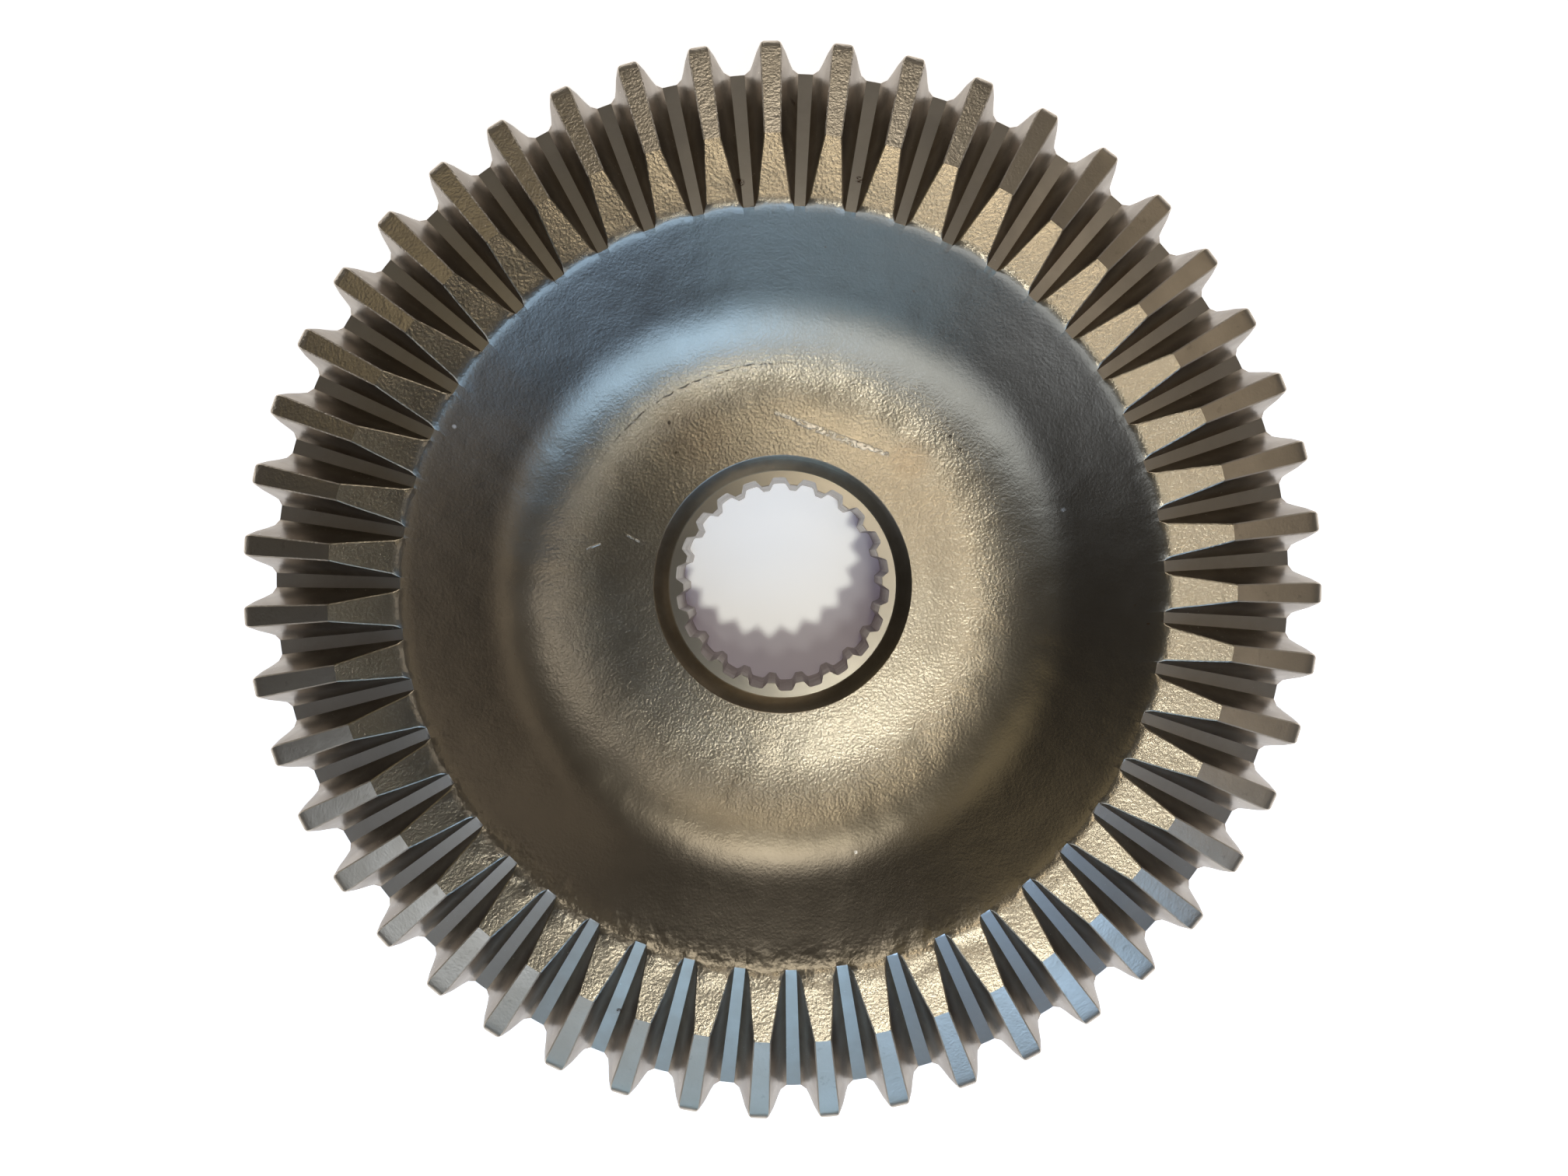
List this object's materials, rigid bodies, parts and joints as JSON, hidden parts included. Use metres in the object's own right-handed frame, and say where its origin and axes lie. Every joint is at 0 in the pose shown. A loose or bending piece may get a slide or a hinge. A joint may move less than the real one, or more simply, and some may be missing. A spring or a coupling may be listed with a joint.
{
  "type": "bevel ring gear",
  "caption": "One-piece forged steel bevel gear: straight cut teeth round a deep bowl, with a splined bore through the hub at the bottom of the bowl.",
  "frame": {"origin": "on the gear's axis, in the plane of the hub's back face, on which the gear stands", "axes": "+Z along the gear's axis from the hub's back face towards the teeth and the open bowl; +X and +Y are the picture's right and top"},
  "size_m": [0.2377, 0.2377, 0.0544],
  "materials": {
    "gear_steel": "satin shot-blasted forging skin with a warm bronze-grey cast; turned tooth tops and countersink"
  },
  "bodies": {
    "root": {"ring_gear": "gear_steel"}
  },
  "joints": []
}
